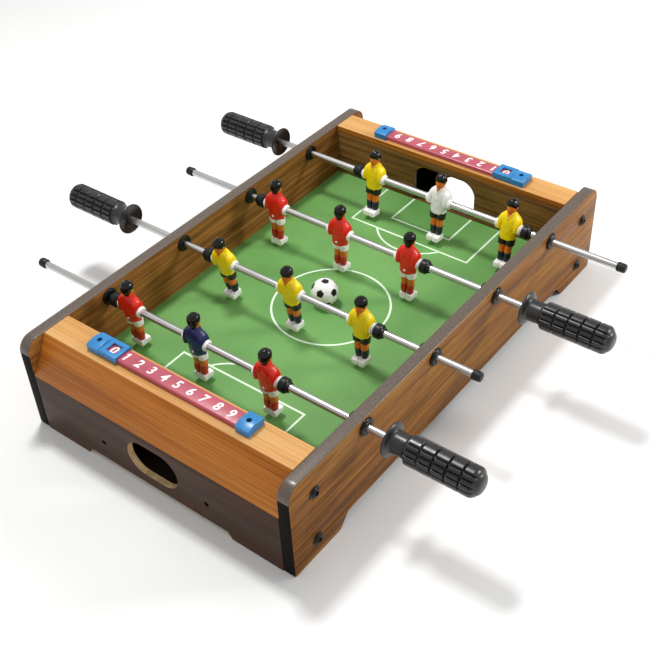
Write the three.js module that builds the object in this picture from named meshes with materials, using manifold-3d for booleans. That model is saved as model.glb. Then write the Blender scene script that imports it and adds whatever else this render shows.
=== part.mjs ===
// Tabletop football table for two players, 51 x 31 x 10 cm over the cabinet.
//
// Frame: millimetres, +Z up. The table stands on z = 0 and its length runs
// along Y. The four rods run along X. The origin is the centre of the bounding
// box at floor level, so the cabinet's own centre lies FRAME_SHIFT to the right.
import * as THREE from 'three';
import { mergeVertices } from 'three/addons/utils/BufferGeometryUtils.js';
import Module from 'manifold-3d';

const wasm = await Module();
wasm.setup();

// ---- driving dimensions ------------------------------------------------------
const GAP = 0.3;                  // air left between two pieces that touch
const SIDES = 12;                 // facets round a small turned piece
const GRIP_SIDES = 16;            // facets round a handle
const BOLT_SIDES = 10;

// cabinet
const LENGTH = 510;
const WIDTH = 312;
const PANEL_HEIGHT = 103;
const PANEL_THICK = 12;
const PANEL_CORNER = 14;          // radius of the panels' upper corners
const FOOT_LENGTH = 60;
const FOOT_CURVE = 15;            // length of the S between foot and arch
const ARCH_HEIGHT = 13.5;
const FIELD_TOP = 43;
const FIELD_THICK = 3;
const GROOVE_DEPTH = 3.3;         // groove in the panels for the field board

// ends
const BOARD = 6;                  // thickness of the folded hood and goal wall
const TRAY_THICK = 3;
const TRAY_TOP = 14.8;
const WALL_FACE = 204.5;          // goal wall's inner face, from the centre
const RAIL_EDGE = 233;            // where the flat rail turns into the slope
const SLOPE_FOOT = 66.5;          // height where the slope meets the end board
const BLOCK_THICK = 15;           // glued block that takes the bolts
const NOTCH_HALF = 88;            // arch under the end board
const NOTCH_RISE = 7;
const NOTCH_RUN = 5;
const RETURN_HOLE = { half: 30, radius: 19, height: 37 };
const GOAL = { half: 39, top: 88, corner: 17 };
const BOLT = {
  y: 224, heights: [20, 77], shank: 1.6, hole: 1.9, reach: 24,
  head: 4.8, shoulder: 1.56, rise: 2.6, crown: 2.88,
};

// rods
const ROD_HEIGHT = 92.5;
const ROD_PITCH = 103;
const ROD_RADIUS = 3.5;
const BORE = ROD_RADIUS + GAP;
const ROD_END = 207;              // capped end, from the middle figure
const FIGURE_PITCH = 83;
const BUMPER = { inner: 98.5, step: 106, outer: 108.5, radius: 7.2, collar: 5 };
const CAP = { inner: 198, outer: 209.5, radius: 5.2, chamfer: 1 };
const HANDLE = {
  mouth: 212.5, grip: 231.5, shoulder: 292, tip: 299.5,   // from the middle figure
  flange: 16.2, neck: 10, radius: 13.4,
  cup: 5,                         // hollow in front of the rod's bore
  rim: 0.8,                       // rounding of the flange's edge
  flare: [[2.4, 15.6], [6, 11], [10, 10]],   // [from the mouth, radius] back of the flange
  neckEnd: 2,                     // run from the neck up to the grip
  dome: { shoulder: 2.5, drop: 2.2, flat: 6.5 },
  rodShort: 5,                    // the rod stops this far before the shoulder
};
const BUSHING = { bore: 3.85, barrel: 5.8, flange: 8.6, taper: 0.8, thick: 2.5, hole: 6.3 };

// Each rod: which way its handle points (+1 is +X), how far it is slid from its
// middle position at rest, and how far each figure's feet are kicked forward, in
// degrees, from the left. The figures are pinned a few degrees out of line.
const RODS = [
  { side: 1, slide: -31.5, leans: [4, 2, 3], shirts: ['red', 'blue', 'red'], keeper: true },
  { side: -1, slide: -6, leans: [-9, -5, 2], shirts: Array(3).fill('yellow'), keeper: false },
  { side: 1, slide: -25, leans: [-2, -1, -2], shirts: Array(3).fill('red'), keeper: false },
  { side: -1, slide: 27, leans: [8, 9, 12], shirts: ['yellow', 'white', 'yellow'], keeper: true },
];

// score counters
const COUNTER = {
  y: 217, half: 94, block: 15, blockWidth: 20, blockSide: 6.2, blockCrown: 8.4,
  screwHole: 2.2, screwDepth: 3,
};
const STRIP = { width: 16, thick: 4.7 };
const SLIDER = { length: 21, width: 19.6, top: 7.3, window: 11, windowWidth: 10, skirt: 0.8 };

// ball
const BALL_RADIUS = 14;
const BALL_X = -7;

// ---- places that follow from them ----------------------------------------------
const INNER = WIDTH / 2 - PANEL_THICK;
const tips = (side) => RODS.filter((rod) => rod.side === side)
  .map((rod) => rod.slide + side * HANDLE.tip);
const FRAME_SHIFT = -(Math.max(...tips(1)) + Math.min(...tips(-1))) / 2;
const rodPlace = (index) => (index - 1.5) * ROD_PITCH;

// ---- materials -------------------------------------------------------------------
const finish = (color, roughness, metalness = 0) =>
  new THREE.MeshStandardMaterial({ color, roughness, metalness });
const WOOD = finish('#8a5a30', 0.5);
const HOOD_WOOD = finish('#c98a4c', 0.5);
const WALL_WOOD = finish('#5a4020', 0.6);
const FIELD_GREEN = finish('#5f9c4c', 0.7);
const CHROME = finish('#d4d4d2', 0.2, 1);
const BLACK_GRIP = finish('#2a2b2a', 0.45);
const BLACK_PLASTIC = finish('#18181a', 0.35);
const BLACK_RUBBER = finish('#202022', 0.8);
const BLACK_STEEL = finish('#1c1a18', 0.4, 0.6);
const COUNTER_RED = finish('#c8606c', 0.4);
const COUNTER_BLUE = finish('#3f8fd6', 0.35);
const BALL_WHITE = finish('#f4f4f2', 0.35);
const SHIRTS = {
  red: finish('#d0301c', 0.35),
  yellow: finish('#e8cc1e', 0.35),
  blue: finish('#1c2f5c', 0.35),
  white: finish('#efefea', 0.35),
};

// ---- solids ----------------------------------------------------------------------
// A geometry's triangles with shared corners, no slivers, and faces outward.
function tidy(geometry) {
  const bare = geometry.clone();
  bare.deleteAttribute('normal');
  bare.deleteAttribute('uv');
  const merged = mergeVertices(bare, 1e-4);
  const corner = merged.getAttribute('position');
  const point = (i) => new THREE.Vector3().fromBufferAttribute(corner, i);
  const kept = [];
  let volume = 0;
  for (let i = 0; i < merged.index.count; i += 3) {
    const [a, b, c] = [0, 1, 2].map((step) => merged.index.getX(i + step));
    if (a === b || b === c || c === a) continue;
    kept.push([a, b, c]);
    volume += point(a).dot(point(b).cross(point(c)));
  }
  const order = volume < 0 ? [0, 2, 1] : [0, 1, 2];
  merged.setIndex(kept.flatMap((face) => order.map((step) => face[step])));
  return merged;
}

function solid(geometry) {
  const clean = tidy(geometry);
  return new wasm.Manifold(new wasm.Mesh({
    numProp: 3,
    vertProperties: new Float32Array(clean.getAttribute('position').array),
    triVerts: new Uint32Array(clean.index.array),
  }));
}

function geometryOf(manifold) {
  const mesh = manifold.getMesh();
  const geometry = new THREE.BufferGeometry();
  geometry.setAttribute('position', new THREE.BufferAttribute(mesh.vertProperties, 3));
  geometry.setIndex(new THREE.BufferAttribute(mesh.triVerts, 1));
  return geometry;
}

const join = (...pieces) => pieces.reduce((whole, piece) => whole.add(piece));
const cut = (whole, ...pieces) => pieces.reduce((rest, piece) => rest.subtract(piece), whole);

function box(x0, x1, y0, y1, z0, z1) {
  return new THREE.BoxGeometry(x1 - x0, y1 - y0, z1 - z0)
    .translate((x0 + x1) / 2, (y0 + y1) / 2, (z0 + z1) / 2);
}

// An outline in (y, z) pushed along X from x0 to x1.
function alongX(shape, x0, x1, curveSegments = 6) {
  const turn = new THREE.Matrix4().makeBasis(
    new THREE.Vector3(0, 1, 0), new THREE.Vector3(0, 0, 1), new THREE.Vector3(1, 0, 0));
  return new THREE.ExtrudeGeometry(shape, { depth: x1 - x0, bevelEnabled: false, curveSegments })
    .applyMatrix4(turn).translate(x0, 0, 0);
}

// An outline in (x, z) pushed along Y from y0 to y1.
function alongY(shape, y0, y1, curveSegments = 6) {
  return new THREE.ExtrudeGeometry(shape, { depth: y1 - y0, bevelEnabled: false, curveSegments })
    .rotateX(Math.PI / 2).translate(0, y1, 0);
}

// A profile of [x, radius] points turned about the X axis.
function turned(profile, sides = SIDES) {
  const points = profile.map(([x, radius]) => new THREE.Vector2(radius, x));
  return new THREE.LatheGeometry(points, sides).rotateZ(-Math.PI / 2);
}

const ring = (profile, sides = SIDES) => turned([...profile, profile[0]], sides);
const mirrored = (profile) => profile.map(([x, radius]) => [-x, radius]);

function polygon(points) {
  return new THREE.Shape(points.map(([u, v]) => new THREE.Vector2(u, v)));
}

// ---- the model -------------------------------------------------------------------
const model = new THREE.Group();
const table = new THREE.Group();
table.position.x = FRAME_SHIFT;
model.add(table);

function piece(parent, name, geometry, material) {
  const mesh = new THREE.Mesh(geometry, material);
  mesh.name = name;
  parent.add(mesh);
  return mesh;
}

const turnedGroup = (parent, half) => {
  const group = new THREE.Group();
  group.rotation.z = half ? Math.PI : 0;
  parent.add(group);
  return group;
};

// ---- cabinet ---------------------------------------------------------------------
function sidePanelOutline() {
  const end = LENGTH / 2;
  const foot = end - FOOT_LENGTH;
  const arch = foot - FOOT_CURVE;
  const middle = (foot + arch) / 2;
  const shape = new THREE.Shape();
  shape.moveTo(-end, 0);
  shape.lineTo(-foot, 0);
  shape.bezierCurveTo(-middle, 0, -middle, ARCH_HEIGHT, -arch, ARCH_HEIGHT);
  shape.lineTo(arch, ARCH_HEIGHT);
  shape.bezierCurveTo(middle, ARCH_HEIGHT, middle, 0, foot, 0);
  shape.lineTo(end, 0);
  shape.lineTo(end, PANEL_HEIGHT - PANEL_CORNER);
  shape.absarc(end - PANEL_CORNER, PANEL_HEIGHT - PANEL_CORNER, PANEL_CORNER, 0, Math.PI / 2);
  shape.lineTo(PANEL_CORNER - end, PANEL_HEIGHT);
  shape.absarc(PANEL_CORNER - end, PANEL_HEIGHT - PANEL_CORNER, PANEL_CORNER, Math.PI / 2, Math.PI);
  return shape;
}

function sidePanel() {
  const shape = sidePanelOutline();
  const hole = (y, z, radius) => {
    shape.holes.push(new THREE.Path().absarc(y, z, radius, 0, 2 * Math.PI));
  };
  RODS.forEach((rod, index) => hole(rodPlace(index), ROD_HEIGHT, BUSHING.hole));
  for (const y of [-BOLT.y, BOLT.y]) BOLT.heights.forEach((z) => hole(y, z, BOLT.hole));
  const groove = box(
    INNER - 1, INNER + GROOVE_DEPTH, -WALL_FACE, WALL_FACE,
    FIELD_TOP - FIELD_THICK - GAP, FIELD_TOP + GAP);
  return geometryOf(cut(solid(alongX(shape, INNER, WIDTH / 2, 6)), solid(groove)));
}

// head outside the panel, shank through it into the hood's glued block
function sideBolt(y, z) {
  const face = WIDTH / 2 + GAP;
  return turned([
    [face - BOLT.reach, 0],
    [face - BOLT.reach, BOLT.shank],
    [face, BOLT.shank],
    [face, BOLT.head],
    [face + BOLT.shoulder, BOLT.head],
    [face + BOLT.rise, BOLT.crown],
    [face + BOLT.rise, 0],
  ], BOLT_SIDES).translate(0, y, z);
}

// spool clipped in the panel: a flange on each face and a barrel between them
function bushing(y) {
  const inside = INNER - GAP;
  const outside = WIDTH / 2 + GAP;
  return ring([
    [inside - BUSHING.thick, BUSHING.bore],
    [inside - BUSHING.thick, BUSHING.flange],
    [inside, BUSHING.flange],
    [inside, BUSHING.barrel],
    [outside, BUSHING.barrel],
    [outside, BUSHING.flange],
    [outside + BUSHING.thick, BUSHING.flange - BUSHING.taper],
    [outside + BUSHING.thick, BUSHING.bore],
  ]).translate(0, y, ROD_HEIGHT);
}

const SIDE_NAMES = ['right', 'left'];
SIDE_NAMES.forEach((side, half) => {
  const group = turnedGroup(table, half);
  piece(group, `${side}_side_panel`, sidePanel(), WOOD);
  [['far', 1], ['near', -1]].forEach(([end, sign]) => {
    BOLT.heights.forEach((z, level) => {
      const name = `${side}_${end}_${['lower', 'upper'][level]}_bolt`;
      const turnedSign = half ? -sign : sign;
      piece(group, name, sideBolt(turnedSign * BOLT.y, z), BLACK_STEEL);
    });
  });
  RODS.forEach((rod, index) => {
    const y = half ? -rodPlace(index) : rodPlace(index);
    piece(group, `bushing_${index + 1}_${side}`, bushing(y), BLACK_PLASTIC);
  });
});

piece(table, 'playfield', box(
  -INNER - GROOVE_DEPTH + GAP, INNER + GROOVE_DEPTH - GAP,
  -WALL_FACE + GAP, WALL_FACE - GAP,
  FIELD_TOP - FIELD_THICK, FIELD_TOP), FIELD_GREEN);

// ---- ends ------------------------------------------------------------------------
function goalWall() {
  const half = INNER - GAP;
  const bottom = TRAY_TOP + GAP;
  const top = PANEL_HEIGHT - BOARD - GAP;
  const shape = polygon([[-half, bottom], [half, bottom], [half, top], [-half, top]]);
  const mouth = new THREE.Path();
  mouth.moveTo(-GOAL.half, FIELD_TOP);
  mouth.lineTo(GOAL.half, FIELD_TOP);
  mouth.lineTo(GOAL.half, GOAL.top - GOAL.corner);
  mouth.absarc(GOAL.half - GOAL.corner, GOAL.top - GOAL.corner, GOAL.corner, 0, Math.PI / 2);
  mouth.lineTo(GOAL.corner - GOAL.half, GOAL.top);
  mouth.absarc(GOAL.corner - GOAL.half, GOAL.top - GOAL.corner, GOAL.corner, Math.PI / 2, Math.PI);
  shape.holes.push(mouth);
  return alongY(shape, WALL_FACE, WALL_FACE + BOARD);
}

// Folded board: rail, slope, end board and ball tray in one piece, with a block
// glued in at each end for the bolts.
function endHood() {
  const end = LENGTH / 2;
  const half = INNER - GAP;
  const inside = end - BOARD;
  const slopeAngle = Math.atan2(end - RAIL_EDGE, PANEL_HEIGHT - SLOPE_FOOT);
  const innerFoot = SLOPE_FOOT - BOARD * Math.tan(slopeAngle / 2);
  const innerRail = RAIL_EDGE - BOARD * Math.tan((Math.PI / 2 - slopeAngle) / 2);
  const underRail = PANEL_HEIGHT - BOARD;
  const trayBottom = TRAY_TOP - TRAY_THICK;
  const section = polygon([
    [WALL_FACE, PANEL_HEIGHT], [WALL_FACE, underRail], [innerRail, underRail],
    [inside, innerFoot], [inside, TRAY_TOP], [WALL_FACE, TRAY_TOP],
    [WALL_FACE, trayBottom], [inside, trayBottom], [inside, 0],
    [end, 0], [end, SLOPE_FOOT], [RAIL_EDGE, PANEL_HEIGHT],
  ]);
  const blockFace = WALL_FACE + BOARD + GAP;
  const filling = polygon([
    [blockFace, TRAY_TOP - 1], [inside + 1, TRAY_TOP - 1], [inside + 1, innerFoot],
    [innerRail, underRail + 1], [blockFace, underRail + 1],
  ]);
  const block = (x0) => {
    const holes = BOLT.heights.map((z) =>
      solid(turned([[x0 - 1, 0], [x0 - 1, BOLT.hole], [x0 + BLOCK_THICK + 1, BOLT.hole],
        [x0 + BLOCK_THICK + 1, 0]], BOLT_SIDES).translate(0, BOLT.y, z)));
    return cut(solid(alongX(filling, x0, x0 + BLOCK_THICK)), ...holes);
  };
  const hole = new THREE.Shape();
  const straight = RETURN_HOLE.half - RETURN_HOLE.radius;
  hole.absarc(straight, RETURN_HOLE.height, RETURN_HOLE.radius, -Math.PI / 2, Math.PI / 2);
  hole.absarc(-straight, RETURN_HOLE.height, RETURN_HOLE.radius, Math.PI / 2, 1.5 * Math.PI);
  const notch = polygon([
    [-NOTCH_HALF - NOTCH_RUN, -1], [NOTCH_HALF + NOTCH_RUN, -1], [NOTCH_HALF, NOTCH_RISE],
    [-NOTCH_HALF, NOTCH_RISE],
  ]);
  const folded = join(solid(alongX(section, -half, half)), block(-half), block(half - BLOCK_THICK));
  return geometryOf(cut(folded,
    solid(alongY(hole, inside - 1, end + 1, 8)), solid(alongY(notch, inside - 1, end + 1))));
}

// strip between two crowned end blocks, each with a screw hole
function scoreBar() {
  const base = PANEL_HEIGHT + GAP;
  const inner = COUNTER.half - COUNTER.block;
  const strip = box(
    -inner - 1, inner + 1, COUNTER.y - STRIP.width / 2, COUNTER.y + STRIP.width / 2,
    base, base + STRIP.thick);
  const side = COUNTER.blockWidth / 2;
  const crown = new THREE.Shape();
  crown.moveTo(COUNTER.y - side, base);
  crown.lineTo(COUNTER.y + side, base);
  crown.lineTo(COUNTER.y + side, base + COUNTER.blockSide);
  crown.quadraticCurveTo(COUNTER.y, base + 2 * COUNTER.blockCrown - COUNTER.blockSide,
    COUNTER.y - side, base + COUNTER.blockSide);
  const { screwHole: bore, screwDepth: depth } = COUNTER;
  const screwHole = (x) => solid(new THREE.CylinderGeometry(bore, bore, 2 * depth, SIDES)
    .rotateX(Math.PI / 2).translate(x, COUNTER.y, base + COUNTER.blockCrown));
  const middle = inner + COUNTER.block / 2;
  const bar = join(
    solid(strip),
    solid(alongX(crown, inner, COUNTER.half)),
    solid(alongX(crown, -COUNTER.half, -inner)));
  return geometryOf(cut(bar, screwHole(middle), screwHole(-middle)));
}

// window frame whose two skirts hang down beside the strip
function scoreSlider() {
  const base = PANEL_HEIGHT + GAP;
  const x1 = COUNTER.half - COUNTER.block - GAP;
  const x0 = x1 - SLIDER.length;
  const [y, half] = [COUNTER.y, SLIDER.width / 2];
  const channel = STRIP.width / 2 + GAP;
  const centre = (x0 + x1) / 2;
  const body = box(x0, x1, y - half, y + half, base + SLIDER.skirt, base + SLIDER.top);
  const slot = box(x0 - 1, x1 + 1, y - channel, y + channel, base - 1, base + STRIP.thick + GAP);
  const window = box(
    centre - SLIDER.window / 2, centre + SLIDER.window / 2,
    y - SLIDER.windowWidth / 2, y + SLIDER.windowWidth / 2, base, base + SLIDER.top + 1);
  return geometryOf(cut(solid(body), solid(slot), solid(window)));
}

['far', 'near'].forEach((end, half) => {
  const group = turnedGroup(table, half);
  piece(group, `${end}_goal_wall`, goalWall(), WALL_WOOD);
  piece(group, `${end}_end_hood`, endHood(), HOOD_WOOD);
  piece(group, `${end}_score_bar`, scoreBar(), COUNTER_RED);
  piece(group, `${end}_score_slider`, scoreSlider(), COUNTER_BLUE);
});

// ---- rods ------------------------------------------------------------------------
// In a rod's own group the rod lies on X with the handle at +X, and the figures
// face +Y.
function rodBar() {
  const end = HANDLE.shoulder - HANDLE.rodShort;
  return turned([[-ROD_END, 0], [-ROD_END, ROD_RADIUS], [end, ROD_RADIUS], [end, 0]]);
}

function endCap() {
  const seat = ROD_END + GAP;
  return turned([
    [-seat, 0], [-seat, BORE], [-CAP.inner, BORE], [-CAP.inner, CAP.radius],
    [CAP.chamfer - CAP.outer, CAP.radius], [-CAP.outer, CAP.radius - CAP.chamfer],
    [-CAP.outer, 0],
  ]);
}

function handle() {
  const { mouth, grip, shoulder, tip, flange, neck, radius, rim, dome } = HANDLE;
  const seat = shoulder - HANDLE.rodShort + GAP;
  return turned([
    [seat, 0], [seat, BORE], [mouth + HANDLE.cup, BORE],
    [mouth, flange - rim], [mouth + rim, flange],
    ...HANDLE.flare.map(([step, size]) => [mouth + step, size]),
    [grip - HANDLE.neckEnd, neck], [grip, radius], [shoulder, radius],
    [tip - dome.shoulder, radius - dome.drop], [tip, radius - dome.flat], [tip, 0],
  ], GRIP_SIDES);
}

const BUMPER_PROFILE = [
  [BUMPER.inner, BORE], [BUMPER.inner, BUMPER.radius], [BUMPER.step, BUMPER.radius],
  [BUMPER.step, BUMPER.collar], [BUMPER.outer, BUMPER.collar], [BUMPER.outer, BORE],
];

// One moulding: shoes, legs and shorts, shirt, head, and a boss on the rod at each
// hip. Profiles are [height from the rod's axis, half width].
const FIGURE = {
  legs: [[-40, 0], [-40, 6.8], [-20, 8.4], [-10, 8.8], [-10, 0]],
  shirt: [[-14, 0], [-14, 8.6], [5, 12.2], [11, 10.6], [14.5, 5], [14.5, 0]],
  head: [[10, 0], [10, 3.6], [19, 4.2], [24, 5.4], [29, 4.8], [31.5, 2], [31.5, 0]],
  sides: 8,
  legDepth: 0.6,                  // depth over width
  shirtDepth: 0.52,
  headForward: 0.4,
  shoe: { half: 8.4, heel: -4.5, toe: 7.5, sole: -45.2, top: -38.2 },
  boss: 14.8,
  bossRadius: 6.2,
};

function figure() {
  const upright = (profile, depth, forward) => {
    const points = profile.map(([z, radius]) => new THREE.Vector2(radius, z));
    return solid(new THREE.LatheGeometry(points, FIGURE.sides).rotateX(Math.PI / 2)
      .scale(1, depth, 1).translate(0, forward, 0));
  };
  const rodwise = (half, radius) =>
    solid(turned([[-half, 0], [-half, radius], [half, radius], [half, 0]]));
  const { half, heel, toe, sole, top } = FIGURE.shoe;
  const body = join(
    upright(FIGURE.legs, FIGURE.legDepth, 0),
    upright(FIGURE.shirt, FIGURE.shirtDepth, 0),
    upright(FIGURE.head, 1, FIGURE.headForward),
    solid(box(-half, half, heel, toe, sole, top)),
    rodwise(FIGURE.boss, FIGURE.bossRadius));
  return geometryOf(cut(body, rodwise(FIGURE.boss + 1, BORE)));
}

const FIGURE_PLACES = ['left', 'middle', 'right'];
RODS.forEach((rod, index) => {
  const place = turnedGroup(table, rod.side < 0);
  place.position.set(rod.slide, rodPlace(index), ROD_HEIGHT);
  const number = index + 1;
  piece(place, `rod_${number}`, rodBar(), CHROME);
  piece(place, `handle_${number}`, handle(), BLACK_GRIP);
  piece(place, `end_cap_${number}`, endCap(), BLACK_RUBBER);
  const [low, high] = rod.side > 0 ? ['left', 'right'] : ['right', 'left'];
  piece(place, `bumper_${number}_${high}`, ring(BUMPER_PROFILE), BLACK_RUBBER);
  piece(place, `bumper_${number}_${low}`, ring(mirrored(BUMPER_PROFILE)), BLACK_RUBBER);
  FIGURE_PLACES.forEach((where, step) => {
    const isKeeper = rod.keeper && where === 'middle';
    const name = isKeeper ? `keeper_${number}` : `player_${number}_${where}`;
    const mesh = piece(place, name, figure(), SHIRTS[rod.shirts[step]]);
    mesh.position.x = (step - 1) * FIGURE_PITCH * rod.side;
    mesh.rotation.x = THREE.MathUtils.degToRad(rod.leans[step]);
  });
});

// ---- ball ------------------------------------------------------------------------
piece(table, 'ball', new THREE.SphereGeometry(BALL_RADIUS, 16, 12).rotateX(Math.PI / 2), BALL_WHITE)
  .position.set(BALL_X, 0, FIELD_TOP + GAP + BALL_RADIUS);

// Every mesh is handed over as clean triangles.
model.traverse((node) => {
  if (node.isMesh) node.geometry = tidy(node.geometry);
});

export default model;
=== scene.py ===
"""Tabletop foosball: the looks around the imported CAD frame.

Lengths inside the builders are millimetres in the table's own frame: origin on the floor under
the table's centre, X along the rods, Y towards the far end, Z up. place() turns them into metres
in the frame's own coordinates.
"""
import math
from itertools import combinations

import bmesh
import bpy
from mathutils import Euler, Matrix, Vector
from mathutils.geometry import tessellate_polygon


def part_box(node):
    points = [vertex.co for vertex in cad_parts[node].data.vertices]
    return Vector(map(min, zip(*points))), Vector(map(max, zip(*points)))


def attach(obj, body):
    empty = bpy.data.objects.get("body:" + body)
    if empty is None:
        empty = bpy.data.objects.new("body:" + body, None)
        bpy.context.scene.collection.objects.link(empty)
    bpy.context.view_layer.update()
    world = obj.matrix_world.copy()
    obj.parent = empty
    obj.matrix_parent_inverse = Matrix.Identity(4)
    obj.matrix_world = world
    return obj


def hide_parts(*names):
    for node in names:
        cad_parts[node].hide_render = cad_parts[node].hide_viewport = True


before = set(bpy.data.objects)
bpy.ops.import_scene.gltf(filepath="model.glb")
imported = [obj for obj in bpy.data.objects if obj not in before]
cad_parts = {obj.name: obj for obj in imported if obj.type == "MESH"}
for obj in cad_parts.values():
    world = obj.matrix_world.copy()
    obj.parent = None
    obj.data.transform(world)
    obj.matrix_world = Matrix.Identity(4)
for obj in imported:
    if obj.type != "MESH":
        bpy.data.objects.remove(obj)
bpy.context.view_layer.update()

# ---- driving dimensions, read off the frame ----
MM = 0.001
right_low, right_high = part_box("right_side_panel")
left_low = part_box("left_side_panel")[0]
hood_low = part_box("far_end_hood")[0]
field_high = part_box("playfield")[1]
ball_low, ball_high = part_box("ball")

TABLE_X = (right_high.x + left_low.x) / 2
HALF_LENGTH = right_high.y / MM
HALF_WIDTH = (right_high.x - TABLE_X) / MM
PANEL_TOP = right_high.z / MM
PANEL_THICK = (right_high.x - right_low.x) / MM
INNER = HALF_WIDTH - PANEL_THICK
WALL_FACE = hood_low.y / MM
FIELD_TOP = field_high.z / MM
RODS = [1, 2, 3, 4]
ROD_Z = 92.5
ROD_R = 3.5
BOARD = 6.0
GAP = 0.3
SLOPE_FOOT = 66.5        # height of the fold between a hood's slope and its end board


def linked(name, data):
    """A new object in the scene."""
    made = bpy.data.objects.new(name, data)
    bpy.context.scene.collection.objects.link(made)
    return made


# ---- camera ----
camera = linked("camera", bpy.data.cameras.new("camera"))
right_axis = Vector((0.79372, 0.60679, -0.04254))
up_axis = Vector((-0.36854, 0.53535, 0.75999))
back_axis = -Vector((-0.48393, 0.58754, -0.64855))
facing = Matrix((right_axis, up_axis, back_axis)).transposed().to_4x4()
camera.matrix_world = Matrix.Translation((0.54536, -0.64835, 0.72596)) @ facing
camera.data.sensor_width = 36
camera.data.lens = 59.24
bpy.context.scene.camera = camera
bpy.context.scene.view_settings.view_transform = "Standard"


# ---- node materials ----
BLACK, WHITE = "000000", "ffffff"


def srgb(code):
    """A colour written as six hex digits, as linear light."""
    parts = [int(code[i:i + 2], 16) / 255 for i in (0, 2, 4)]
    return tuple(c / 12.92 if c <= 0.04045 else ((c + 0.055) / 1.055) ** 2.4 for c in parts)


class Shader:
    """A small writer of node materials on one Principled shader."""

    def __init__(self, name, roughness=0.5, metallic=0.0, coat=0.0, specular=0.5):
        self.material = bpy.data.materials.new(name)
        self.material.use_nodes = True
        self.tree = self.material.node_tree
        self.main = self.tree.nodes["Principled BSDF"]
        for socket, value in (("Roughness", roughness), ("Metallic", metallic), ("Coat Weight", coat),
                              ("Coat Roughness", 0.12), ("Specular IOR Level", specular)):
            self.put(self.main.inputs[socket], value)
        self.coords = self.node("ShaderNodeTexCoord").outputs["Object"]

    def put(self, socket, value):
        """Give an input a number, a colour's hex digits or another node's output."""
        if isinstance(value, bpy.types.NodeSocket):
            self.tree.links.new(value, socket)
        else:
            socket.default_value = (*srgb(value), 1) if isinstance(value, str) else value

    def node(self, kind, inputs=(), **settings):
        """A new node. inputs is a list of (socket name or number, value)."""
        made = self.tree.nodes.new(kind)
        for key, value in settings.items():
            setattr(made, key, value)
        for key, value in inputs:
            self.put(made.inputs[key], value)
        return made

    def noise(self, scale, detail=4.0, rough=0.55, distortion=0.0, move=(0, 0, 0)):
        """Noise with one scale per metre, or its own scale along each axis."""
        scales = scale if isinstance(scale, tuple) else (scale,) * 3
        mapped = self.node("ShaderNodeMapping", [
            ("Vector", self.coords), ("Scale", scales), ("Location", move)])
        made = self.node("ShaderNodeTexNoise", [
            ("Vector", mapped.outputs["Vector"]), ("Scale", 1.0), ("Detail", detail),
            ("Roughness", rough), ("Distortion", distortion)])
        return made.outputs["Fac"]

    def ramp(self, value, stops):
        """Colours by value. A stop's colour is its hex digits or linear light."""
        made = self.node("ShaderNodeValToRGB", [("Fac", value)])
        elements = made.color_ramp.elements
        while len(elements) < len(stops):
            elements.new(0.5)
        for element, (position, colour) in zip(elements, stops):
            element.position = position
            element.color = (*(srgb(colour) if isinstance(colour, str) else colour), 1)
        return made.outputs["Color"]

    def math(self, operation, *values):
        return self.node("ShaderNodeMath", enumerate(values), operation=operation).outputs["Value"]

    def mix(self, factor, a, b):
        made = self.node("ShaderNodeMix", [("Factor", factor)], data_type="RGBA")
        for socket, value in zip([s for s in made.inputs if s.type == "RGBA"], (a, b)):
            self.put(socket, value)
        return [s for s in made.outputs if s.type == "RGBA"][0]

    def surface(self, colour, wear, rough, height, depth, strength=0.5):
        """The material, with its colour, a roughness that follows wear, and a bump by height."""
        spread = self.node("ShaderNodeMapRange", [
            ("Value", wear), ("From Min", 0.3), ("From Max", 0.7), ("To Min", rough[0]),
            ("To Max", rough[1])])
        bump = self.node("ShaderNodeBump", [
            ("Height", height), ("Distance", depth), ("Strength", strength)])
        self.put(self.main.inputs["Base Color"], colour)
        self.put(self.main.inputs["Roughness"], spread.outputs["Result"])
        self.put(self.main.inputs["Normal"], bump.outputs["Normal"])
        return self.material


def along(axis, with_grain, across):
    """Noise scales that stretch a pattern along one axis."""
    return tuple(with_grain if i == "XYZ".index(axis) else across for i in range(3))


def wood(name, axis, dark, mid, light, figure=(2.2, 26.0), streak=(9.0, 330.0),
         rough=(0.32, 0.5), veins=0.6):
    """Wood-print laminate: broad figure, fine streaks, dark veins and pores along one axis."""
    s = Shader(name, specular=0.1)
    broad = s.noise(along(axis, *figure), detail=3, distortion=0.5)
    fine = s.noise(along(axis, *streak), detail=5, rough=0.65, move=(3, 1, 2))
    both = s.math("MULTIPLY_ADD", fine, 0.62, s.math("MULTIPLY", broad, 0.52))
    base = s.ramp(both, [(0.38, dark), (0.52, mid), (0.66, light)])
    pores = s.noise(along(axis, streak[0] * 4, streak[1] * 3), detail=2, rough=0.7, move=(7, 5, 1))
    spots = s.ramp(pores, [(0.6, BLACK), (0.72, WHITE)])
    vein = s.noise(along(axis, figure[0] * 1.6, figure[1] * 3.2), detail=3, distortion=0.8,
                   move=(5, 2, 8))
    lines = s.ramp(vein, [(0.40, BLACK), (0.475, WHITE), (0.50, WHITE), (0.56, BLACK)])
    inked = s.mix(s.math("MULTIPLY", lines, veins), base, dark)
    pits = s.math("MULTIPLY", spots, 0.5)
    return s.surface(s.mix(pits, inked, dark), fine, rough, s.math("SUBTRACT", fine, pits), 0.00012)


def plastic(name, code, tone=0.2, rough=(0.24, 0.36), grain=900, depth=0.00004, specular=0.5):
    """Moulded plastic: a slow shift of tone, a fine moulded texture and uneven sheen."""
    s = Shader(name, specular=specular)
    darker, lighter = ([min(1.0, c * t) for c in srgb(code)] for t in (1 - tone, 1 + tone))
    return s.surface(s.ramp(s.noise(38, detail=2), [(0.35, darker), (0.65, lighter)]),
                     s.noise(150, detail=3), rough, s.noise(grain, detail=3), depth, 0.6)


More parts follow.
